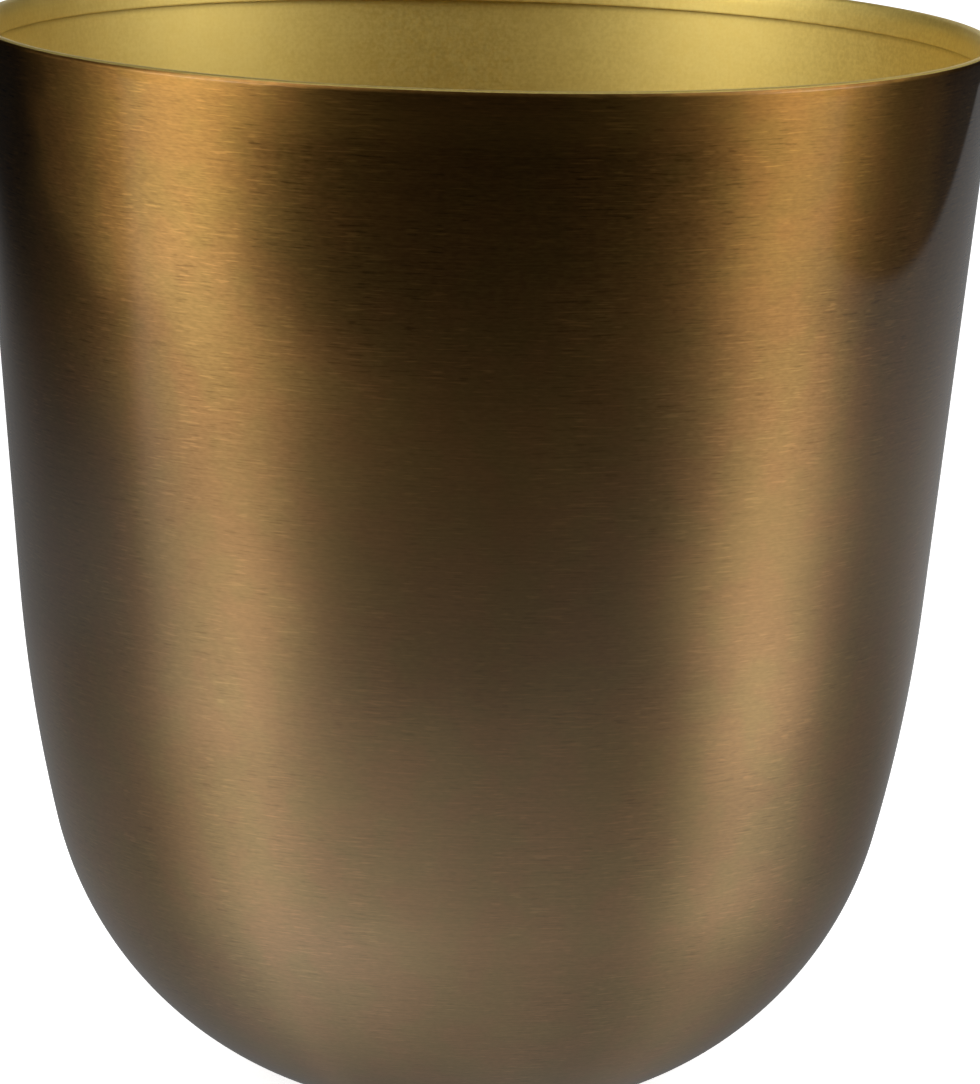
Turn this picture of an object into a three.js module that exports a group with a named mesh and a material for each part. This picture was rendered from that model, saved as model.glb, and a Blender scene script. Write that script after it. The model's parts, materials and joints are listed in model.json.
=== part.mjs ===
// Round-bottomed flower pot, spun from one disc of sheet metal.
// Millimetres, +Z up. The origin is the middle of the plane that the foot pads stand on.
//
// The shell is one ribbon of sheet, equally thick all the way. Its section starts at a cut edge
// inside the rim, goes up and over the crest, down the tapered wall and round the bowl, in across
// a flat standing ring and up to the raised middle of the base. Felt pads under the ring carry it.
import * as THREE from "three";

// Outside of the shell
const rimRadius = 95; // outermost point of the folded rim
const wallTaper = 5.5; // degrees that the straight wall leans in as it goes down
const wallLength = 105; // straight wall, measured along its slope
const shoulderRadius = 297; // easy bend under the straight wall
const shoulderEnd = 14.2; // degrees of lean where the easy bend runs into the bowl
const bowlRadius = 70; // main bend of the bowl
const cornerRadius = 4; // bend between the bowl and the standing ring

// Sheet and folded rim
const sheet = 0.8; // thickness of the metal
const foldInside = 0.15; // inside radius of the tight fold over the crest
const lipLean = 15; // degrees that the lip leans away from the wall as it leaves the fold
const lipEase = 9; // radius of the bend that then lays the lip parallel to the wall
const lipDepth = 5.4; // from the crest down to the cut edge

// Base
const ringRadius = 36; // outer edge of the flat standing ring
const panelLift = 2; // how far the middle of the base is pushed up
const panelBend = 2.5; // radius of the two bends round the raised middle

// Foot pads
const padCount = 4;
const padRadius = 5;
const padThickness = 2;
const padChamfer = 0.4; // round the underside of a pad
const padMargin = 1; // bare metal left on each side of a pad
const firstPad = 45; // degrees from +X to the first pad

// How finely the round shapes are cut into flats
const roundSteps = 72; // round the whole pot
const padSteps = 32; // round one pad
const foldSteps = 5;
const easeSteps = 3;
const shoulderSteps = 4;
const bowlSteps = 11;
const cornerSteps = 3;
const panelSteps = 2;

// Worked out from the sizes above
const foldRadius = foldInside + sheet / 2; // middle of the sheet in the tight fold
const crestRadius = rimRadius - sheet / 2 - foldRadius;
const ringWidth = 2 * (padRadius + padMargin);
const padCircle = ringRadius - ringWidth / 2;

const toRadians = THREE.MathUtils.degToRad;
const toDegrees = THREE.MathUtils.radToDeg;

// Draws the middle line of the sheet in the half plane (radius, height), each run tangent to the next.
// Headings are in degrees: 0 runs straight down, 90 in towards the axis and -90 out from it.
// outerSide is 1 where the outer face lies to the left of the way the pen runs, and -1 on its right.
class SheetPen {
  constructor(radius, height, heading, outerSide) {
    this.radius = radius;
    this.height = height;
    this.heading = heading;
    this.outerSide = outerSide;
    this.stations = [];
    this.mark();
  }

  // Keeps the point reached, with the direction there that leads out of the outer face.
  mark() {
    const angle = toRadians(this.heading);
    const outward = new THREE.Vector2(Math.cos(angle), -Math.sin(angle));
    outward.multiplyScalar(this.outerSide);
    this.stations.push({ middle: new THREE.Vector2(this.radius, this.height), outward });
  }

  line(length) {
    const angle = toRadians(this.heading);
    this.radius -= length * Math.sin(angle);
    this.height -= length * Math.cos(angle);
    this.mark();
  }

  bend(bendRadius, turn, steps) {
    const way = Math.sign(turn);
    for (let step = 0; step < steps; step += 1) {
      const before = toRadians(this.heading);
      this.heading += turn / steps;
      const after = toRadians(this.heading);
      this.radius += way * bendRadius * (Math.cos(after) - Math.cos(before));
      this.height += way * bendRadius * (Math.sin(before) - Math.sin(after));
      this.mark();
    }
  }
}

// The folded lip, from the crest of the rim inwards and down to the cut edge.
function lipStations() {
  const pen = new SheetPen(crestRadius, 0, 90, -1);
  pen.bend(foldRadius, wallTaper + lipLean - 90, foldSteps);
  pen.bend(lipEase, -lipLean, easeSteps);
  const depthReached = sheet / 2 - pen.height;
  pen.line((lipDepth - depthReached) / Math.cos(toRadians(pen.heading)));
  return pen.stations;
}

// The body, from the crest of the rim outwards, down the wall and in under the base to the axis.
function bodyStations() {
  const bowlMiddle = bowlRadius - sheet / 2;
  const cornerMiddle = cornerRadius - sheet / 2;
  const pen = new SheetPen(crestRadius, 0, -90, 1);
  pen.bend(foldRadius, 90, foldSteps);
  pen.bend(foldRadius, wallTaper, 1);
  pen.line(wallLength);
  pen.bend(shoulderRadius - sheet / 2, shoulderEnd - wallTaper, shoulderSteps);

  // The bowl hands over to the corner bend where that one comes out level at the ring's outer edge.
  const bowlCentre = pen.radius - bowlMiddle * Math.cos(toRadians(pen.heading));
  const handOver = toDegrees(Math.acos((ringRadius - bowlCentre) / (bowlMiddle - cornerMiddle)));
  pen.bend(bowlMiddle, handOver - pen.heading, bowlSteps);
  pen.bend(cornerMiddle, 90 - handOver, cornerSteps);
  pen.line(ringWidth);

  // Two equal bends, one each way, lift the middle of the base.
  const panelTurn = toDegrees(Math.acos(1 - panelLift / (2 * panelBend)));
  pen.bend(panelBend, panelTurn, panelSteps);
  pen.bend(panelBend, -panelTurn, panelSteps);
  pen.line(pen.radius);
  return pen.stations;
}

function potShell() {
  const stations = [...lipStations().slice(1).reverse(), ...bodyStations()];
  const faceAt = (offset) =>
    stations.map(({ middle, outward }) => middle.clone().addScaledVector(outward, offset));
  const outerFace = faceAt(sheet / 2);
  const innerFace = faceAt(-sheet / 2);
  const lowest = Math.min(...outerFace.map((point) => point.y));
  const section = [...outerFace.reverse(), ...innerFace];
  section.forEach((point) => point.setY(point.y - lowest + padThickness));
  return new THREE.LatheGeometry(section, roundSteps).rotateX(Math.PI / 2);
}

function footPad() {
  const section = [
    new THREE.Vector2(0, 0),
    new THREE.Vector2(padRadius - padChamfer, 0),
    new THREE.Vector2(padRadius, padChamfer),
    new THREE.Vector2(padRadius, padThickness),
    new THREE.Vector2(0, padThickness),
  ];
  return new THREE.LatheGeometry(section, padSteps).rotateX(Math.PI / 2);
}

const agedBronze = new THREE.MeshStandardMaterial({ color: 0x8a6136, roughness: 0.35, metalness: 1 });
const brownFelt = new THREE.MeshStandardMaterial({ color: 0x3a2f28, roughness: 0.95, metalness: 0 });

const flowerPot = new THREE.Group();

const shell = new THREE.Mesh(potShell(), agedBronze);
shell.name = "pot_shell";
flowerPot.add(shell);

for (let index = 0; index < padCount; index += 1) {
  const angle = toRadians(firstPad + (index * 360) / padCount);
  const pad = new THREE.Mesh(footPad(), brownFelt);
  pad.name = `foot_pad_${index + 1}`;
  pad.position.set(padCircle * Math.cos(angle), padCircle * Math.sin(angle), 0);
  flowerPot.add(pad);
}

export default flowerPot;
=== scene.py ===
import json
import math

import bpy
from mathutils import Matrix, Vector

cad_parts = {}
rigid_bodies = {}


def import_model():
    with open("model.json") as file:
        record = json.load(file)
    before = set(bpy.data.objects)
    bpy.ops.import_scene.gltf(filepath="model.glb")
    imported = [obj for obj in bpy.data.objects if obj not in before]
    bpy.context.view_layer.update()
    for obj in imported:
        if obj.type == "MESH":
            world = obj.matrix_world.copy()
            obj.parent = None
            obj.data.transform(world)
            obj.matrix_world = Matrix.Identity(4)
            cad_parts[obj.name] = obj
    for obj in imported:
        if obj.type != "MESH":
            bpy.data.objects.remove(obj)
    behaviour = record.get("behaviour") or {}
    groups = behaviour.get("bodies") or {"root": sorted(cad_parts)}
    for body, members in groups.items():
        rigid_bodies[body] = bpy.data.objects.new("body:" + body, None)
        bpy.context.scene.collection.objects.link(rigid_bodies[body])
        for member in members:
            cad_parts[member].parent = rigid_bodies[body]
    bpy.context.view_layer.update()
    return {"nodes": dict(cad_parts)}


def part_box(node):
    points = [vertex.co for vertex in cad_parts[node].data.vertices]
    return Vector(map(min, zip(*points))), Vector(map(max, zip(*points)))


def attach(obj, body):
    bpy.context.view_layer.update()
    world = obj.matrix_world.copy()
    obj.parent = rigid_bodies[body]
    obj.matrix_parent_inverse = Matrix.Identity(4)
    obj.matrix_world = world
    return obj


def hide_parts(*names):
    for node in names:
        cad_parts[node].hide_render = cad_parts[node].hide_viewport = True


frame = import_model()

mm = 0.001
degrees = math.pi / 180
facing = 0.99             # a face looks along an axis when that part of its normal is over this

print("Flower pot: frame loaded,", len(frame["nodes"]), "CAD nodes")

shellLow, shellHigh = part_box("pot_shell")
crestHeight = shellHigh.z
rimRadius = (shellHigh.x - shellLow.x) / 2


# Selection and edit mode

def deselectAll():
    for thing in bpy.context.view_layer.objects:
        thing.select_set(False)


def workOn(piece):
    deselectAll()
    bpy.context.view_layer.objects.active = piece
    piece.select_set(True)


def selectFaces(piece, test):
    # in edit mode, by each face's middle and normal
    bpy.ops.mesh.select_mode(type="FACE")
    bpy.ops.mesh.select_all(action="DESELECT")
    bpy.ops.object.mode_set(mode="OBJECT")
    for face in piece.data.polygons:
        face.select = test(face.center, face.normal)
    bpy.ops.object.mode_set(mode="EDIT")


def selectEdges(piece, test):
    # in edit mode, by the places of both ends
    bpy.ops.mesh.select_mode(type="EDGE")
    bpy.ops.mesh.select_all(action="DESELECT")
    bpy.ops.object.mode_set(mode="OBJECT")
    points = piece.data.vertices
    for edge in piece.data.edges:
        first, second = (points[index].co for index in edge.vertices)
        edge.select = test(first, second)
    bpy.ops.object.mode_set(mode="EDIT")


def selectNearest(piece, spot):
    # in edit mode, the one point that lies nearest to the spot
    bpy.ops.mesh.select_mode(type="VERT")
    bpy.ops.mesh.select_all(action="DESELECT")
    bpy.ops.object.mode_set(mode="OBJECT")
    nearest = min(piece.data.vertices, key=lambda point: (point.co - spot).length)
    nearest.select = True
    bpy.ops.object.mode_set(mode="EDIT")


def applyModifier(piece, kind, **settings):
    workOn(piece)
    modifier = piece.modifiers.new(kind.title(), kind)
    for name, value in settings.items():
        setattr(modifier, name, value)
    bpy.ops.object.modifier_apply(modifier=modifier.name)


# Shader nodes

def newMaterial(name, kind="BsdfPrincipled"):
    material = bpy.data.materials.new(name)
    material.use_nodes = True
    tree = material.node_tree
    tree.nodes.clear()
    shader = tree.nodes.new("ShaderNode" + kind)
    output = tree.nodes.new("ShaderNodeOutputMaterial")
    tree.links.new(shader.outputs[0], output.inputs["Surface"])
    return material, tree, shader


def feed(tree, socket, value):
    if isinstance(value, bpy.types.NodeSocket):
        tree.links.new(value, socket)
    else:
        socket.default_value = value


def maths(tree, operation, *values):
    node = tree.nodes.new("ShaderNodeMath")
    node.operation = operation
    for socket, value in zip(node.inputs, values):
        feed(tree, socket, value)
    return node.outputs["Value"]


def times(tree, product, *others):
    for other in others:
        product = maths(tree, "MULTIPLY", product, other)
    return product


def plus(tree, total, *others):
    for other in others:
        total = maths(tree, "ADD", total, other)
    return total


def vectorMaths(tree, operation, *values, result="Vector"):
    node = tree.nodes.new("ShaderNodeVectorMath")
    node.operation = operation
    for socket, value in zip(node.inputs, values):
        feed(tree, socket, value)
    return node.outputs[result]


def scaled(tree, vector, factor):
    node = tree.nodes.new("ShaderNodeVectorMath")
    node.operation = "SCALE"
    feed(tree, node.inputs["Vector"], vector)
    feed(tree, node.inputs["Scale"], factor)
    return node.outputs["Vector"]


def split(tree, vector):
    node = tree.nodes.new("ShaderNodeSeparateXYZ")
    tree.links.new(vector, node.inputs["Vector"])
    return node.outputs["X"], node.outputs["Y"], node.outputs["Z"]


def joined(tree, x=0.0, y=0.0, z=0.0):
    node = tree.nodes.new("ShaderNodeCombineXYZ")
    for socket, value in zip(node.inputs, (x, y, z)):
        feed(tree, socket, value)
    return node.outputs["Vector"]


def objectPlace(tree):
    return tree.nodes.new("ShaderNodeTexCoord").outputs["Object"]


def noise(tree, vector, scale=1.0, detail=2.0, roughness=0.5):
    node = tree.nodes.new("ShaderNodeTexNoise")
    feed(tree, node.inputs["Vector"], vector)
    node.inputs["Scale"].default_value = scale
    node.inputs["Detail"].default_value = detail
    node.inputs["Roughness"].default_value = roughness
    return node.outputs["Fac"]


def spread(tree, value, low, high, newLow=0.0, newHigh=1.0):
    node = tree.nodes.new("ShaderNodeMapRange")
    node.interpolation_type = "SMOOTHSTEP"
    feed(tree, node.inputs["Value"], value)
    node.inputs["From Min"].default_value = low
    node.inputs["From Max"].default_value = high
    node.inputs["To Min"].default_value = newLow
    node.inputs["To Max"].default_value = newHigh
    return node.outputs["Result"]


def rise(tree, value, between, amount=1.0):
    return spread(tree, value, *between, 0.0, amount)


def fall(tree, value, between, amount=1.0):
    return spread(tree, value, *between, amount, 0.0)


def swing(tree, pattern, amount, middle=0.0):
    # a noise pattern, whose values mostly lie between 0.3 and 0.7, spread to both sides of the middle
    return spread(tree, pattern, 0.3, 0.7, middle - amount, middle + amount)


def mixColours(tree, share, first, second, blend="MIX"):
    node = tree.nodes.new("ShaderNodeMix")
    node.data_type = "RGBA"
    node.blend_type = blend
    feed(tree, node.inputs["Factor"], share)
    feed(tree, node.inputs[6], first)
    feed(tree, node.inputs[7], second)
    return node.outputs[2]


def bump(tree, height, strength, distance):
    node = tree.nodes.new("ShaderNodeBump")
    node.inputs["Strength"].default_value = strength
    node.inputs["Distance"].default_value = distance
    feed(tree, node.inputs["Height"], height)
    return node.outputs["Normal"]


def turningPlaces(tree):
    # a point on the turned shell: its place, its heading round the axis, how far along the section
    # it lies (height plus radius always falls towards the base), and its height
    place = objectPlace(tree)
    flat = vectorMaths(tree, "MULTIPLY", place, (1.0, 1.0, 0.0))
    reach = vectorMaths(tree, "LENGTH", flat, result="Value")
    heading = vectorMaths(tree, "NORMALIZE", flat)
    height = split(tree, place)[2]
    return place, heading, plus(tree, height, reach), height


def towardsCrest(tree, height, depth, share, low, high):
    # low up to that depth under the crest, and high from that share of the depth
    return spread(tree, height, crestHeight - depth, crestHeight - share * depth, low, high)


wallRadius = 90 * mm          # about the middle of the wall, where marks round it have their true length


def strokes(tree, heading, along, strokeLength, strokeWidth, detail=2.0):
    # long thin marks that run round the pot
    turned = scaled(tree, heading, wallRadius / strokeLength)
    climb = joined(tree, z=times(tree, along, 1 / strokeWidth))
    return noise(tree, vectorMaths(tree, "ADD", turned, climb), detail=detail)


shell = {
    "sheet": 0.8 * mm,
    "wallTaper": 5.5,          # degrees
    "wallLength": 105 * mm,
    "shoulderRadius": 297 * mm,
    "shoulderEnd": 14.2,       # degrees of lean where the bowl starts
    "bowlRadius": 70 * mm,
    "cornerRadius": 4 * mm,
    "foldInside": 0.15 * mm,
    "lipLean": 15,             # degrees
    "lipEase": 9 * mm,
    "lipDepth": 5.4 * mm,
    "ringRadius": 36 * mm,
    "ringWidth": 12 * mm,
    "panelLift": 2 * mm,
    "panelBend": 2.5 * mm,
    "roundSteps": 256,
    "weld": 0.01 * mm,         # points closer than this are joined after the spin
    "cutBevel": 0.12 * mm,
    "cutLevel": 0.005 * mm,    # how level the edges of the cut face are,
    "cutReach": 0.25 * mm,     # how near to the cut's height they lie,
    "cutInside": 1.5 * mm,     # and how far in from the outside of the rim
    "belowCut": 0.6 * mm,      # the paint's edge is looked for only above this depth under the cut
    "heart": 0.75,             # share of the height at which a point on the axis sees the whole inside
    "smoothAngle": 40,         # degrees
    "paintEdge": 45,           # the paint ends where the crest faces up by less than this, in degrees
}

bronzeFinish = {
    # lighter and paler towards the foot: painted reflection of the pale table
    "topColour": (0.40, 0.205, 0.049, 1.0),
    "footColour": (0.68, 0.465, 0.245, 1.0),
    "cloudSize": 9 * mm,
    "cloudTurn": (0.36, 0.64),          # noise values over which rosy turns to green
    "rosyTint": (1.02, 0.975, 0.975, 1.0),
    "greenTint": (0.975, 1.01, 0.965, 1.0),
    "patchSize": 40 * mm,
    "patchTone": 0.04,
    "grainLength": 14 * mm,
    "grainWidth": 0.30 * mm,
    "grainTone": 0.055,
    "fleckLength": 1.4 * mm,
    "fleckWidth": 0.45 * mm,
    "fleckTone": 0.065,
    "dashLength": 4.5 * mm,
    "dashWidth": 0.36 * mm,
    "brightDashes": ((0.64, 0.76), 0.24),   # noise values, and how much brighter
    "darkDashes": ((0.22, 0.35), 0.19),
    "dashBump": 0.3,
    "dashDepth": 0.01 * mm,
    "crowdSize": 16 * mm,
    "crowding": (0.35, 0.65, 0.45, 1.2),    # noise values, and the dashes' strength at each
    "grainDepth": (0.64, 1.2),          # how strong the grain is low down and near the rim
    "grainHeight": (110 * mm, 165 * mm),
    # painted highlight: a pale band right on the crest
    "paleCrestHighlight": (0.95, 0.80, 0.48, 1.0),
    "crestHighlightDepth": 0.30 * mm,
    "crestHighlightFade": 0.06 * mm,
    "roughness": 0.4325,
    "unevenness": 0.02,
    "topRoughness": 0.41,               # the wall is smoother near the rim
    "topHeight": (143 * mm, 158 * mm),
    "foldDepth": 1.15 * mm,             # the lacquer is thin and the metal dull on the tight fold
    "foldFull": 0.6,                    # share of that depth from which it is fully so
    "foldRoughness": 0.58,
    "foldCoat": 0.1,
    "anisotropy": 0.794,
    "anisotropyTurn": 0.25,             # a quarter turn: the brush ran round the pot
    "coatRoughness": 0.05,
    "coatIor": 1.6,
}

# a patch on the upper left of the wall where the brush ran aslant; the fades at its sides are in radians
crossBrush = {
    "markLength": 3.0 * mm,
    "markWidth": 0.7 * mm,
    "markTurn": (0.34, 0.66),  # noise values over which dark marks turn to bright
    "markLean": 18,            # degrees that the marks slant
    "markTone": 0.05,
    "grainLean": 23,           # degrees that the grain turns
    "leanUnevenness": 0.05,
    "between": (-61, -14),     # its two sides, in degrees from the front
    "outerFade": 0.1,
    "innerFade": 0.35,
    "light": (0.20, 0.27),     # painted highlight: paler there, and more golden on the inner side
    "inner": (-43, -35),       # where that side starts, in degrees from the front
    "tint": (0.99, 1.06, 1.16, 1.0),
    "foot": 169 * mm,
    "footFade": 9 * mm,
    "drop": 14 * mm,           # how much further down it reaches on its inner side
    "dropReach": 0.55,
    "raggedScale": 60.0,
    "raggedSides": 0.3,
    "raggedFoot": 60 * mm,
    "trail": 0.35,             # share of the slant that trails on below
    "trailFoot": 95 * mm,
    "right": 0.32,             # and share of it that goes on to the right
    "rightFade": 0.68,
    "rightEnd": (1.0, 1.3),
}

# painted shade and light on the bronze: how much darker it is in places (lighter below 0), at which
# angles from the front, in radians, and at which heights
paintedShadeAndLight = {
    "flank": 0.48,
    "flankAngle": (1.02, 1.12),
    "flankHeight": (135 * mm, 185 * mm),
    "left": 0.15,
    "leftAngle": (-0.62, -0.45),
    "right": -0.12,
    "rightAngle": (0.72, 0.90),
    "rightFoot": (80 * mm, 100 * mm),
    "sidesTop": (120 * mm, 150 * mm),
    "sidesEnd": (1.3, 2.1),
    "ring": 0.30,
    "ringAngle": (0.40, 0.55),
    "ringFoot": (150 * mm, 170 * mm),
    "ringTop": (186 * mm, 194 * mm),
    "middle": -0.16,
    "middleAngle": (0.15, 0.40),
    "middleTop": (138 * mm, 155 * mm),
    "bowl": -0.13,
    "bowlTop": (80 * mm, 95 * mm),
    "bowlFoot": (30 * mm, 45 * mm),
}


def crossBrushing(tree, place, turned, height):
    # how much the brush leans, where its patch is, and the short marks in it, between -1 and 1
    look = crossBrush
    lean = look["markLean"] * degrees
    across = times(tree, turned, rimRadius)
    along = maths(tree, "SUBTRACT", times(tree, across, math.cos(lean)),
                  times(tree, height, math.sin(lean)))
    aside = plus(tree, times(tree, across, math.sin(lean)), times(tree, height, math.cos(lean)))
    spot = joined(tree, maths(tree, "DIVIDE", along, look["markLength"]),
                  maths(tree, "DIVIDE", aside, look["markWidth"]))
    marks = spread(tree, noise(tree, spot, detail=1.0), *look["markTurn"], -1.0, 1.0)
    torn = noise(tree, place, scale=look["raggedScale"])
    ragged = maths(tree, "MULTIPLY_ADD", torn, look["raggedSides"], -look["raggedSides"] / 2)
    edge = plus(tree, turned, ragged)
    first, last = (side * degrees for side in look["between"])

    # it reaches further down on the patch's inner side, and below it the slant dies out slowly
    outer = (first - look["outerFade"], first + look["outerFade"])
    lower = rise(tree, turned, (outer[0], first + look["dropReach"]), look["drop"])
    rising = plus(tree, maths(tree, "MULTIPLY_ADD", ragged, look["raggedFoot"], height), lower)
    upper = spread(tree, rising, look["foot"] - look["footFade"], look["foot"] + look["footFade"])
    begun = rise(tree, edge, outer)
    within = times(tree, upper, begun, fall(tree, edge, (last - look["innerFade"], last)))
    trailing = rise(tree, height, (look["trailFoot"], look["foot"]), look["trail"])
    slanted = maths(tree, "MULTIPLY_ADD", upper, 1 - look["trail"], trailing)
    towardsRight = spread(tree, edge, last - look["rightFade"], last, 1.0, look["right"])
    slanted = times(tree, slanted, towardsRight, begun, fall(tree, turned, look["rightEnd"]))
    return slanted, within, times(tree, marks, within)


def paintedShadeAt(tree, turned, height):
    # painted shade and light: how much darker the bronze is at a point
    shade = paintedShadeAndLight
    side = maths(tree, "ABSOLUTE", turned)
    flanks = times(tree, rise(tree, side, shade["flankAngle"], shade["flank"]),
                   rise(tree, height, shade["flankHeight"]))
    left = fall(tree, turned, shade["leftAngle"], shade["left"])
    right = times(tree, rise(tree, turned, shade["rightAngle"], shade["right"]),
                  rise(tree, height, shade["rightFoot"]))
    sides = times(tree, plus(tree, left, right), fall(tree, height, shade["sidesTop"]))
    onSides = times(tree, plus(tree, flanks, sides), fall(tree, side, shade["sidesEnd"]))
    ring = times(tree, fall(tree, side, shade["ringAngle"], shade["ring"]),
                 rise(tree, height, shade["ringFoot"]), fall(tree, height, shade["ringTop"]))
    middle = times(tree, fall(tree, side, shade["middleAngle"], shade["middle"]),
                   fall(tree, height, shade["middleTop"]))
    bowl = times(tree, fall(tree, height, shade["bowlTop"], shade["bowl"]),
                 rise(tree, height, shade["bowlFoot"]))
    return plus(tree, onSides, ring, bowl, middle)


def brushedBronze():
    look = bronzeFinish
    material, tree, shader = newMaterial("brushedAgedBronze")
    place, heading, along, height = turningPlaces(tree)
    grain = strokes(tree, heading, along, look["grainLength"], look["grainWidth"], detail=3.0)
    dashes = strokes(tree, heading, along, look["dashLength"], look["dashWidth"], detail=0.0)
    flecks = strokes(tree, heading, along, look["fleckLength"], look["fleckWidth"], detail=1.0)
    clouds = noise(tree, place, scale=1 / look["cloudSize"])
    patches = noise(tree, place, scale=1 / look["patchSize"])
    crowds = noise(tree, place, scale=1 / look["crowdSize"], detail=1.0)
    towardsX, towardsY, _ = split(tree, heading)
    turned = maths(tree, "ARCTAN2", towardsX, times(tree, towardsY, -1.0))
    slanted, within, crossMarks = crossBrushing(tree, place, turned, height)

    # even metal with soft clouds, a faint grain, and a few short bright and dark scratches
    bright = rise(tree, dashes, *look["brightDashes"])
    dark = fall(tree, dashes, *look["darkDashes"])
    scratched = times(tree, maths(tree, "SUBTRACT", bright, dark), spread(tree, crowds, *look["crowding"]))
    grained = plus(tree, swing(tree, grain, look["grainTone"]), swing(tree, flecks, look["fleckTone"]))
    keener = spread(tree, height, *look["grainHeight"], *look["grainDepth"])
    tone = maths(tree, "MULTIPLY_ADD", plus(tree, grained, scratched), keener, 1.0)
    tone = plus(tree, tone, swing(tree, patches, look["patchTone"]))
    tone = maths(tree, "MULTIPLY_ADD", crossMarks, crossBrush["markTone"], tone)
    # painted highlight in the patch: paler, and more golden on its inner side
    first, last = (side * degrees for side in crossBrush["inner"])
    paintedPatchHighlight = spread(tree, turned, first, last, *crossBrush["light"])
    tone = maths(tree, "MULTIPLY_ADD", within, paintedPatchHighlight, tone)
    # painted shade and light over the wall
    tone = maths(tree, "SUBTRACT", tone, paintedShadeAt(tree, turned, height))

    # lighter and paler towards the foot: painted reflection of the pale table
    metal = mixColours(tree, rise(tree, height, (0.0, crestHeight)), look["footColour"], look["topColour"])
    metal = scaled(tree, metal, tone)
    tint = mixColours(tree, rise(tree, clouds, look["cloudTurn"]), look["rosyTint"], look["greenTint"])
    metal = mixColours(tree, 1.0, metal, tint, blend="MULTIPLY")
    golden = times(tree, within, rise(tree, turned, (first - crossBrush["outerFade"], last)))
    goldenMetal = mixColours(tree, 1.0, metal, crossBrush["tint"], blend="MULTIPLY")
    metal = mixColours(tree, golden, metal, goldenMetal)

    # a pale band of base colour right on the crest: painted highlight
    edge = crestHeight - look["crestHighlightDepth"]
    highlighted = rise(tree, height, (edge - look["crestHighlightFade"], edge + look["crestHighlightFade"]))
    metal = mixColours(tree, highlighted, metal, look["paleCrestHighlight"])
    tree.links.new(metal, shader.inputs["Base Color"])
    shader.inputs["Metallic"].default_value = 1.0

    uneven = swing(tree, patches, look["unevenness"], look["roughness"])
    onFold = towardsCrest(tree, height, look["foldDepth"], look["foldFull"],
                          0.0, look["foldRoughness"] - look["roughness"])
    nearRim = rise(tree, height, look["topHeight"], look["topRoughness"] - look["roughness"])
    tree.links.new(plus(tree, uneven, onFold, nearRim), shader.inputs["Roughness"])
    shader.inputs["Anisotropic"].default_value = look["anisotropy"]
    shader.inputs["Anisotropic Rotation"].default_value = look["anisotropyTurn"]
    tangent = tree.nodes.new("ShaderNodeTangent")
    tangent.direction_type = "RADIAL"
    tangent.axis = "Z"
    unevenLean = maths(tree, "MULTIPLY_ADD", crossMarks, crossBrush["leanUnevenness"], slanted)
    climbing = joined(tree, z=times(tree, unevenLean, -math.tan(crossBrush["grainLean"] * degrees)))
    tree.links.new(vectorMaths(tree, "ADD", tangent.outputs["Tangent"], climbing), shader.inputs["Tangent"])
    tree.links.new(bump(tree, scratched, look["dashBump"], look["dashDepth"]), shader.inputs["Normal"])
    coat = towardsCrest(tree, height, look["foldDepth"], look["foldFull"], 1.0, look["foldCoat"])
    tree.links.new(coat, shader.inputs["Coat Weight"])
    shader.inputs["Coat Roughness"].default_value = look["coatRoughness"]
    shader.inputs["Coat IOR"].default_value = look["coatIor"]
    return material


goldFinish = {
    "deepColour": (0.797, 0.60, 0.145, 1.0),
    "paleColour": (0.893, 0.71, 0.213, 1.0),
    "grainSize": 0.8 * mm,
    "grainShare": 0.65,        # each pattern's share of the tone
    "grainBump": 0.2,
    "grainDepth": 0.02 * mm,
    "cloudSize": 5 * mm,
    "cloudShare": 0.2,
    "strokeLength": 14 * mm,
    "strokeWidth": 0.5 * mm,
    "strokeShare": 0.15,       # the brushed metal hardly shows through
    "paintedSideLight": 0.17,        # painted light: a little lighter on the +X side
    "underLipShade": 0.22,         # painted shade on the wall right under the lip
    "underLipShadeDepth": 1.4 * mm,
    "lipGap": (0.05 * mm, 0.15 * mm),
    "metallic": 0.95,
    "binder": 0.80,            # clear binder over the metal flakes
    "binderRoughness": 0.5,
    "roughness": 0.52,
    "unevenness": 0.04,
    "crestRoughness": 0.58,
    "crestDepth": 0.8 * mm,    # the paint is thick and dull from this far under the crest
    "crestFull": 0.3,
}


def champagnePaint():
    look = goldFinish
    material, tree, shader = newMaterial("champagneGoldPaint")
    place, heading, along, height = turningPlaces(tree)
    under = strokes(tree, heading, along, look["strokeLength"], look["strokeWidth"])
    grain = noise(tree, place, scale=1 / look["grainSize"], roughness=0.6)
    clouds = noise(tree, place, scale=1 / look["cloudSize"])
    tone = plus(tree, times(tree, under, look["strokeShare"]), times(tree, grain, look["grainShare"]))
    tone = maths(tree, "MULTIPLY_ADD", clouds, look["cloudShare"], tone)
    paint = mixColours(tree, swing(tree, tone, 0.5, 0.5), look["deepColour"], look["paleColour"])
    lipFoot = crestHeight - shell["lipDepth"]
    # painted shade on the wall right under the lip
    shadedUnderLip = times(tree, rise(tree, height, (lipFoot - look["underLipShadeDepth"], lipFoot), look["underLipShade"]),
                    fall(tree, height, [lipFoot + gap for gap in look["lipGap"]]))
    # painted light: a little lighter on the +X side
    sideLit = maths(tree, "MULTIPLY_ADD", split(tree, heading)[0], look["paintedSideLight"], 1.0)
    paint = scaled(tree, paint, maths(tree, "SUBTRACT", sideLit, shadedUnderLip))
    tree.links.new(paint, shader.inputs["Base Color"])
    shader.inputs["Metallic"].default_value = look["metallic"]
    shader.inputs["Coat Weight"].default_value = look["binder"]
    shader.inputs["Coat Roughness"].default_value = look["binderRoughness"]
    satin = swing(tree, grain, look["unevenness"], look["roughness"])
    onCrest = towardsCrest(tree, height, look["crestDepth"], look["crestFull"],
                           0.0, look["crestRoughness"] - look["roughness"])
    tree.links.new(plus(tree, satin, onCrest), shader.inputs["Roughness"])
    tree.links.new(bump(tree, grain, look["grainBump"], look["grainDepth"]), shader.inputs["Normal"])
    return material


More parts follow.
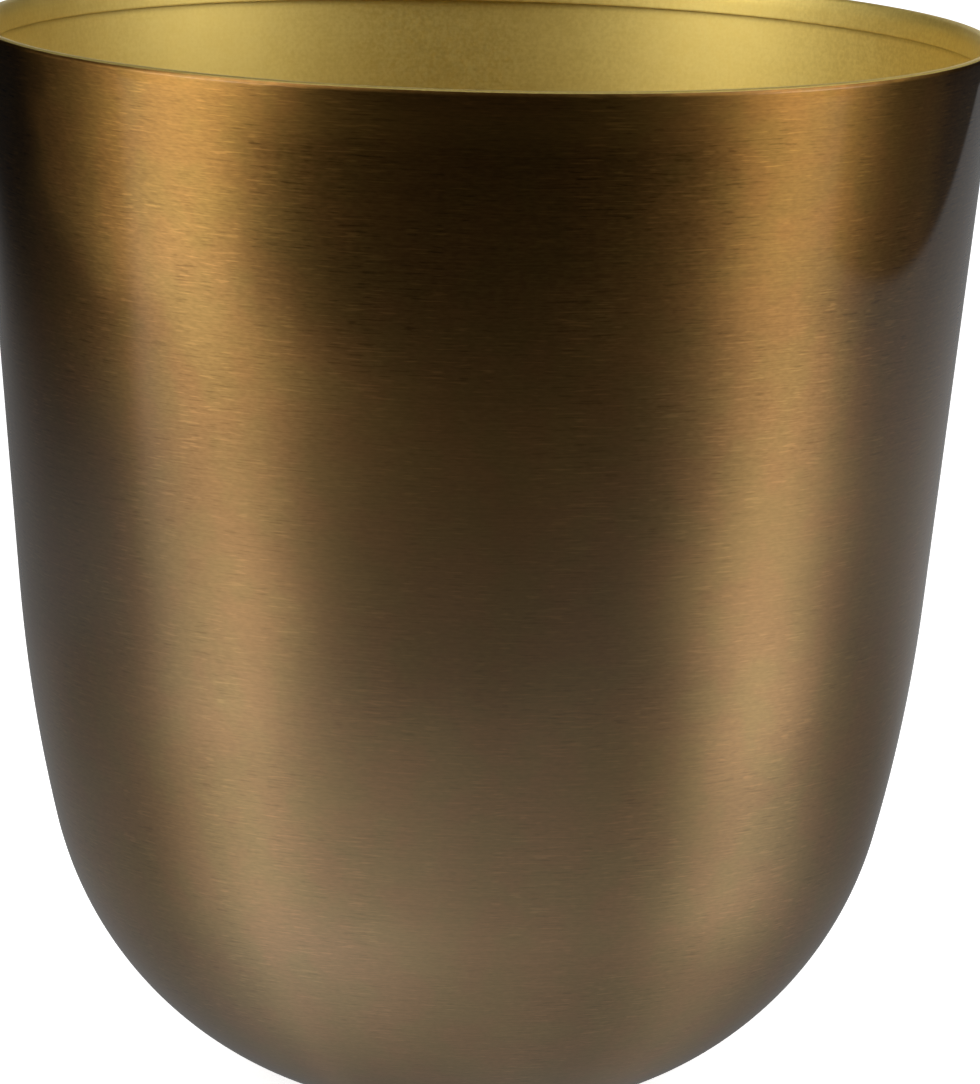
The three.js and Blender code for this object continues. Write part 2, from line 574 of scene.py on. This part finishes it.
feltFinish = {
    "darkFibre": (0.028, 0.019, 0.014, 1.0),
    "lightFibre": (0.075, 0.055, 0.042, 1.0),
    "fibreTurn": (0.35, 0.68),  # noise values over which dark fibres turn to light
    "fibreSize": 0.25 * mm,
    "fibreBump": 0.8,
    "fibreDepth": 0.15 * mm,
    "twistScale": 300.0,
    "twist": 3.0,
    "roughness": 0.95,
    "sheen": 0.4,
    "sheenRoughness": 0.5,
}


def pressedFelt():
    look = feltFinish
    material, tree, shader = newMaterial("pressedBrownFelt")
    place = objectPlace(tree)
    twist = scaled(tree, noise(tree, place, scale=look["twistScale"], detail=1.0), look["twist"])
    bent = vectorMaths(tree, "ADD", scaled(tree, place, 1 / look["fibreSize"]), twist)
    fibres = noise(tree, bent, detail=4.0, roughness=0.7)
    colour = mixColours(tree, rise(tree, fibres, look["fibreTurn"]), look["darkFibre"], look["lightFibre"])
    tree.links.new(colour, shader.inputs["Base Color"])
    shader.inputs["Roughness"].default_value = look["roughness"]
    shader.inputs["Sheen Weight"].default_value = look["sheen"]
    shader.inputs["Sheen Roughness"].default_value = look["sheenRoughness"]
    tree.links.new(bump(tree, fibres, look["fibreBump"], look["fibreDepth"]), shader.inputs["Normal"])
    return material


# The shell

foldRadius = shell["foldInside"] + shell["sheet"] / 2       # middle of the sheet in the tight fold
crestRadius = rimRadius - shell["sheet"] / 2 - foldRadius

rows = {
    "lipFold": 10,
    "lipEase": 6,
    "lip": 5,
    "wallFold": 12,
    "wall": 26,
    "shoulder": 12,
    "bowl": 40,
    "corner": 8,
    "ring": 4,
    "panelBend": 6,
    "panel": 6,
}


class SheetPen:
    # draws the middle of the sheet as a line of edges; heading 0 is down, 90 in, -90 out

    def __init__(self, radius, height, heading):
        self.radius, self.height, self.heading = radius, height, heading

    def line(self, length, steps):
        angle = self.heading * degrees
        step = (-math.sin(angle) * length / steps, 0, -math.cos(angle) * length / steps)
        for _ in range(steps):
            bpy.ops.mesh.extrude_region_move(TRANSFORM_OT_translate={"value": step})
            self.radius += step[0]
            self.height += step[2]

    def bend(self, bendRadius, turn, steps):
        way = 1 if turn > 0 else -1
        angle = self.heading * degrees
        centre = (self.radius - way * bendRadius * math.cos(angle), 0,
                  self.height + way * bendRadius * math.sin(angle))
        bpy.ops.mesh.spin(steps=steps, angle=abs(turn) * degrees, center=centre, axis=(0, -way, 0))
        self.heading += turn
        angle = self.heading * degrees
        self.radius = centre[0] + way * bendRadius * math.cos(angle)
        self.height = centre[2] - way * bendRadius * math.sin(angle)


def spunShell():
    size = shell
    middle = size["sheet"] / 2
    crestMiddle = crestHeight - middle

    bpy.ops.mesh.primitive_plane_add(size=1 * mm, location=(crestRadius, 0, crestMiddle))
    piece = bpy.context.object
    piece.name = "spun_shell"
    bpy.ops.object.transform_apply(location=True)
    bpy.ops.object.mode_set(mode="EDIT")
    bpy.ops.mesh.select_all(action="SELECT")
    bpy.ops.mesh.merge(type="CENTER")

    # lip: from the crest inwards and down to the cut edge
    pen = SheetPen(crestRadius, crestMiddle, 90)
    pen.bend(foldRadius, size["wallTaper"] + size["lipLean"] - 90, rows["lipFold"])
    pen.bend(size["lipEase"], -size["lipLean"], rows["lipEase"])
    reached = crestHeight - pen.height
    pen.line((size["lipDepth"] - reached) / math.cos(pen.heading * degrees), rows["lip"])

    # body: from the crest outwards, down the wall and in under the base
    selectNearest(piece, Vector((crestRadius, 0, crestMiddle)))
    pen = SheetPen(crestRadius, crestMiddle, -90)
    pen.bend(foldRadius, 90 + size["wallTaper"], rows["wallFold"])
    pen.line(size["wallLength"], rows["wall"])
    pen.bend(size["shoulderRadius"] - middle, size["shoulderEnd"] - size["wallTaper"], rows["shoulder"])
    bowlMiddle = size["bowlRadius"] - middle
    cornerMiddle = size["cornerRadius"] - middle
    bowlCentre = pen.radius - bowlMiddle * math.cos(pen.heading * degrees)
    handOver = math.acos((size["ringRadius"] - bowlCentre) / (bowlMiddle - cornerMiddle)) / degrees
    pen.bend(bowlMiddle, handOver - pen.heading, rows["bowl"])
    pen.bend(cornerMiddle, 90 - handOver, rows["corner"])
    pen.line(size["ringWidth"], rows["ring"])
    panelTurn = math.acos(1 - size["panelLift"] / (2 * size["panelBend"])) / degrees
    pen.bend(size["panelBend"], panelTurn, rows["panelBend"])
    pen.bend(size["panelBend"], -panelTurn, rows["panelBend"])
    pen.line(pen.radius, rows["panel"])
    print("Section drawn, the sheet's middle at the axis is", round(pen.height / mm, 3), "mm up")

    # turned round the axis
    bpy.ops.mesh.select_all(action="SELECT")
    bpy.ops.mesh.spin(steps=size["roundSteps"], angle=2 * math.pi, center=(0, 0, 0), axis=(0, 0, 1))
    bpy.ops.mesh.select_all(action="SELECT")
    bpy.ops.mesh.remove_doubles(threshold=size["weld"])
    bpy.ops.mesh.normals_make_consistent(inside=False)
    bpy.ops.object.mode_set(mode="OBJECT")

    applyModifier(piece, "SOLIDIFY", thickness=size["sheet"], offset=0.0,
                  use_even_offset=True, use_rim=True)

    # the cut edge under the lip is broken a little
    cutHeight = crestHeight - size["lipDepth"]
    bpy.ops.object.mode_set(mode="EDIT")

    def onCutEdge(first, second):
        level = abs(first.z - second.z) < size["cutLevel"]
        low = abs(first.z - cutHeight) < size["cutReach"]
        inside = math.hypot(first.x, first.y) < rimRadius - size["cutInside"]
        return level and low and inside

    selectEdges(piece, onCutEdge)
    bpy.ops.mesh.bevel(offset=size["cutBevel"], segments=2, affect="EDGES")
    bpy.ops.object.mode_set(mode="OBJECT")
    return piece


def paintShell(piece, bronze, paint):
    lipFoot = crestHeight - shell["lipDepth"] - shell["belowCut"]
    heart = Vector((0, 0, crestHeight * shell["heart"]))
    paintEdge = math.sin(shell["paintEdge"] * degrees)

    def painted(middle, normal):
        reach = math.hypot(middle.x, middle.y)
        outward = (normal.x * middle.x + normal.y * middle.y) / max(reach, mm)
        if middle.z > lipFoot:
            onOutside = reach > crestRadius and outward > 0
            return not onOutside or normal.z > paintEdge
        return normal.dot(middle - heart) < 0

    piece.data.materials.append(bronze)
    piece.data.materials.append(paint)
    workOn(piece)
    bpy.ops.object.mode_set(mode="EDIT")
    selectFaces(piece, painted)
    piece.active_material_index = 1
    bpy.ops.object.material_slot_assign()
    bpy.ops.object.mode_set(mode="OBJECT")
    bpy.ops.object.shade_smooth_by_angle(angle=shell["smoothAngle"] * degrees)


deselectAll()
bronze = brushedBronze()
paint = champagnePaint()
potShell = spunShell()
paintShell(potShell, bronze, paint)
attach(potShell, "root")
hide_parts("pot_shell")
print("Shell spun:", len(potShell.data.polygons), "faces")


# The felt pads

pad = {
    "count": 4,
    "rings": 5,
    "roundSteps": 64,
    "edgeBevel": 0.4 * mm,
    "bevelSteps": 4,
    "footReach": 0.01 * mm,    # edges this near to the ground are the underside's
    "smoothAngle": 50,         # degrees
    "unevenness": 0.06 * mm,
    "lumpSize": 0.9 * mm,
}


def feltPad(felt):
    low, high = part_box("foot_pad_1")
    radius = (high.x - low.x) / 2
    thickness = high.z - low.z
    bpy.ops.mesh.primitive_cylinder_add(vertices=pad["roundSteps"], radius=radius, depth=thickness,
                                        location=(0, 0, thickness / 2))
    piece = bpy.context.object
    bpy.ops.object.transform_apply(location=True)
    bpy.ops.object.mode_set(mode="EDIT")
    selectEdges(piece, lambda first, second: max(first.z, second.z) < pad["footReach"])
    bpy.ops.mesh.bevel(offset=pad["edgeBevel"], segments=pad["bevelSteps"], affect="EDGES")
    for side in (-1, 1):
        selectFaces(piece, lambda middle, normal: normal.z * side > facing)
        for _ in range(pad["rings"]):
            bpy.ops.mesh.inset(thickness=radius / (pad["rings"] + 2))
    bpy.ops.object.mode_set(mode="OBJECT")
    lumps = bpy.data.textures.new("feltLumps", "CLOUDS")
    lumps.noise_scale = pad["lumpSize"]
    applyModifier(piece, "DISPLACE", texture=lumps, texture_coords="LOCAL", mid_level=1.0,
                  strength=pad["unevenness"])
    piece.data.materials.append(felt)
    bpy.ops.object.shade_smooth_by_angle(angle=pad["smoothAngle"] * degrees)
    return piece


def layPads():
    first = feltPad(pressedFelt())
    for number in range(1, pad["count"] + 1):
        node = f"foot_pad_{number}"
        low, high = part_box(node)
        piece = first.copy()
        piece.data = first.data.copy()
        bpy.context.scene.collection.objects.link(piece)
        piece.name = f"felt_pad_{number}"
        piece.data.transform(Matrix.Translation(((low.x + high.x) / 2, (low.y + high.y) / 2, low.z)))
        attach(piece, "root")
        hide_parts(node)
    bpy.data.objects.remove(first)


deselectAll()
layPads()
print("Felt pads laid")


# Floor, light and camera

studio = {
    "floorSize": 30.0,
    "floorShade": 0.85,
    "floorWhite": 0.84,        # keeps the floor as white as the photograph's ground, shadow aside
    "worldForSurfaces": 0.4,
    "curtainSides": 48,
    "curtainRadius": 2.6,
    "curtainHeight": 4.5,
    "curtainBelow": 0.01,      # how far the curtain reaches below the floor
    "curtainTone": 0.004,
    "ceilingSize": 1.8,
    "ceilingHeight": 1.7,
    "ceilingRadiance": 0.15,
}

# painted light on the table, seen only by the metal: a lit strip in front of the pot and a dimmer stretch
# behind it
table = {
    "strip": (-0.461, -0.01),
    "stripLeft": 0.30,
    "stripRight": 0.252,
    "stripToBack": (-0.116, -0.037),
    "sideFade": (-0.03, 0.03),
    "middleGain": 0.5,         # how much brighter the strip is right in front of the pot
    "middleReach": 0.112,
    "backLeft": 0.20,
    "backRight": 0.32,
    "backReach": 2.0,
    "leftEdge": (-0.63, -0.33),
    "rightEdge": (0.645, 0.665),
    "rightSlant": 0.03,
}

# painted pools of light and shadow on the table: place, reach and gain
paintedPools = (
    ((0.03, -0.02), 0.085, -0.45),    # painted shade under the pot
    ((0.215, 0.085), 0.19, -0.65),    # painted shadow of the pot from the left light
    ((0.16, -0.05), 0.045, 0.30),
    ((0.16, -0.32), 0.10, 0.60),
    ((0.15, -0.15), 0.085, -0.55),
    ((-0.05, -0.21), 0.09, -0.20),
    ((-0.05, -0.07), 0.035, 0.80),
    ((-0.165, -0.08), 0.065, -0.70),
    ((-0.15, -0.25), 0.07, 0.35),
    ((-0.5, 0.02), 0.16, 1.00),
    ((-0.27, 0.07), 0.09, -0.35),
)


def paintedTableLight(tree):
    place = objectPlace(tree)
    x, y, _ = split(tree, place)
    onRight = rise(tree, x, table["sideFade"])
    towardsBack = rise(tree, y, table["stripToBack"])
    strip = times(tree, rise(tree, y, table["strip"]), maths(tree, "SUBTRACT", 1.0, towardsBack),
                  spread(tree, onRight, 0, 1, table["stripLeft"], table["stripRight"]))
    aside = maths(tree, "POWER", maths(tree, "DIVIDE", x, table["middleReach"]), 2.0)
    middle = maths(tree, "POWER", math.e, times(tree, aside, -1.0))
    strip = times(tree, strip, maths(tree, "MULTIPLY_ADD", middle, table["middleGain"], 1.0))
    distance = vectorMaths(tree, "LENGTH", place, result="Value")
    far = maths(tree, "POWER", math.e, maths(tree, "DIVIDE", distance, -table["backReach"]))
    farTone = times(tree, far, spread(tree, onRight, 0, 1, table["backLeft"], table["backRight"]))
    back = times(tree, towardsBack, farTone)
    slanted = maths(tree, "SUBTRACT", x, times(tree, y, table["rightSlant"]))
    inside = times(tree, fall(tree, slanted, table["rightEdge"]), rise(tree, x, table["leftEdge"]))
    tone = maths(tree, "MULTIPLY_ADD", back, inside, strip)
    for (poolX, poolY), reach, gain in paintedPools:
        away = vectorMaths(tree, "DISTANCE", place, (poolX, poolY, 0.0), result="Value")
        faded = maths(tree, "POWER", math.e, times(tree, times(tree, away, away), -1 / reach ** 2))
        tone = times(tree, tone, maths(tree, "MULTIPLY_ADD", faded, gain, 1.0))
    return tone


def paleFloor():
    bpy.ops.mesh.primitive_plane_add(size=studio["floorSize"])
    floor = bpy.context.object
    floor.name = "floor"
    material, tree, shader = newMaterial("paleFloor")
    shade = studio["floorShade"]
    shader.inputs["Base Color"].default_value = (shade, shade, shade, 1.0)
    shader.inputs["Roughness"].default_value = 1.0
    shader.inputs["Specular IOR Level"].default_value = 0.0
    rays = tree.nodes.new("ShaderNodeLightPath")
    white = tree.nodes.new("ShaderNodeEmission")
    tree.links.new(times(tree, rays.outputs["Is Camera Ray"], studio["floorWhite"]),
                   white.inputs["Strength"])
    toEye = tree.nodes.new("ShaderNodeAddShader")
    tree.links.new(shader.outputs["BSDF"], toEye.inputs[0])
    tree.links.new(white.outputs["Emission"], toEye.inputs[1])
    # for the metal, the floor glows with the painted table light instead of being lit
    tone = tree.nodes.new("ShaderNodeEmission")
    tree.links.new(paintedTableLight(tree), tone.inputs["Strength"])
    toMetal = tree.nodes.new("ShaderNodeMixShader")
    tree.links.new(rays.outputs["Is Glossy Ray"], toMetal.inputs["Fac"])
    tree.links.new(toEye.outputs["Shader"], toMetal.inputs[1])
    tree.links.new(tone.outputs["Emission"], toMetal.inputs[2])
    output = next(node for node in tree.nodes if node.type == "OUTPUT_MATERIAL")
    tree.links.new(toMetal.outputs["Shader"], output.inputs["Surface"])
    floor.data.materials.append(material)


def paleWorld():
    world = bpy.data.worlds.new("paleRoom")
    bpy.context.scene.world = world
    world.use_nodes = True
    tree = world.node_tree
    background = tree.nodes["Background"]
    background.inputs["Color"].default_value = (1.0, 1.0, 1.0, 1.0)
    rays = tree.nodes.new("ShaderNodeLightPath")
    seen = maths(tree, "MAXIMUM", rays.outputs["Is Camera Ray"], rays.outputs["Is Glossy Ray"])
    seen = maths(tree, "MAXIMUM", seen, rays.outputs["Is Transmission Ray"])
    dim = studio["worldForSurfaces"]
    tree.links.new(plus(tree, times(tree, seen, 1 - dim), dim), background.inputs["Strength"])


def aroundPot(azimuth, distance, height):
    # azimuth in degrees from the camera's side, positive towards +X
    turn = azimuth * degrees
    return Vector((math.sin(turn) * distance, -math.cos(turn) * distance, height))


def seenOnlyBy(piece, *kinds):
    for kind in ("camera", "diffuse", "glossy", "transmission", "volume_scatter", "shadow"):
        setattr(piece, "visible_" + kind, kind in kinds)


softboxes = {
    "left": {"azimuth": -60.7, "distance": 0.855, "halfWidth": 0.211, "softEdge": 0.20,
             "tall": 2.0, "radiance": 3.6},
    "right": {"azimuth": 75.0, "distance": 0.915, "halfWidth": 0.197, "softEdge": 0.20,
              "tall": 2.0, "radiance": 4.1},
    "back": {"azimuth": 180, "distance": 1.5, "halfWidth": 0.55, "softEdge": 0.12,
             "tall": 1.0, "radiance": 1.0},
}
softTop = (0.3, 0.5)           # shares of a softbox's height above its middle, over which it fades
softFoot = (0.01, 0.13)        # metres above its lower edge


def softboxGlow(name, box):
    material, tree, glow = newMaterial(name + "SoftboxGlow", "Emission")
    x, y, _ = split(tree, objectPlace(tree))
    middle, soft, tall = box["halfWidth"], box["softEdge"], box["tall"]
    sides = fall(tree, maths(tree, "ABSOLUTE", x), (middle - soft, middle + soft), box["radiance"])
    top = fall(tree, y, [tall * share for share in softTop])
    foot = rise(tree, y, [above - tall / 2 for above in softFoot])
    tree.links.new(times(tree, sides, top, foot), glow.inputs["Strength"])
    return material


def standSoftboxes():
    for name, box in softboxes.items():
        width = 2 * (box["halfWidth"] + box["softEdge"])
        bpy.ops.mesh.primitive_plane_add(size=1.0)
        panel = bpy.context.object
        panel.name = name + "_softbox"
        panel.scale = (width, box["tall"], 1)
        bpy.ops.object.transform_apply(scale=True)
        panel.location = aroundPot(box["azimuth"], box["distance"], box["tall"] / 2)
        panel.rotation_euler = (90 * degrees, 0, box["azimuth"] * degrees)
        panel.data.materials.append(softboxGlow(name, box))
        seenOnlyBy(panel, "diffuse", "glossy")


def hangCeiling():
    # a wide dim light overhead, for the inside and the crest of the rim
    bpy.ops.mesh.primitive_plane_add(size=studio["ceilingSize"], location=(0, 0, studio["ceilingHeight"]))
    ceiling = bpy.context.object
    ceiling.name = "ceiling_light"
    material, _, glow = newMaterial("ceilingGlow", "Emission")
    glow.inputs["Strength"].default_value = studio["ceilingRadiance"]
    ceiling.data.materials.append(material)
    seenOnlyBy(ceiling, "diffuse", "glossy")


def hangCurtains():
    # black curtains all round keep the white room out of the metal, as in a photographer's studio
    tall = studio["curtainHeight"]
    bpy.ops.mesh.primitive_cylinder_add(vertices=studio["curtainSides"], radius=studio["curtainRadius"],
                                        depth=tall, end_fill_type="NGON",
                                        location=(0, 0, tall / 2 - studio["curtainBelow"]))
    curtain = bpy.context.object
    curtain.name = "black_curtain"
    material, _, glow = newMaterial("blackCurtain", "Emission")
    glow.inputs["Strength"].default_value = studio["curtainTone"]
    curtain.data.materials.append(material)
    seenOnlyBy(curtain, "glossy")
    bpy.ops.object.mode_set(mode="EDIT")
    selectFaces(curtain, lambda middle, normal: -normal.z > facing)
    bpy.ops.mesh.delete(type="FACE")
    bpy.ops.object.mode_set(mode="OBJECT")


view = {
    "distance": 1.425,
    "elevation": 10.48,        # degrees
    "roll": 1.493,             # degrees
    "aim": (3.26 * mm, 0, 102.1 * mm),
    "lens": 251.7,             # millimetres, on a frame as wide as the next value
    "frameWidth": 36.0,
}


def standCamera():
    lens = bpy.data.cameras.new("photoView")
    lens.lens = view["lens"]
    lens.sensor_width = view["frameWidth"]
    camera = bpy.data.objects.new("photoView", lens)
    bpy.context.scene.collection.objects.link(camera)
    lift = view["elevation"] * degrees
    turn = view["roll"] * degrees
    back = Vector((0, -math.cos(lift), math.sin(lift)))
    across = Vector((1, 0, 0))
    up = back.cross(across)
    side = across * math.cos(turn) + up * math.sin(turn)
    top = up * math.cos(turn) - across * math.sin(turn)
    axes = Matrix((side, top, back)).transposed().to_4x4()
    camera.matrix_world = Matrix.Translation(Vector(view["aim"]) + back * view["distance"]) @ axes
    bpy.context.scene.camera = camera


deselectAll()
paleFloor()
paleWorld()
standSoftboxes()
hangCeiling()
hangCurtains()
standCamera()
bpy.context.scene.view_settings.view_transform = "Standard"
print("Studio set")
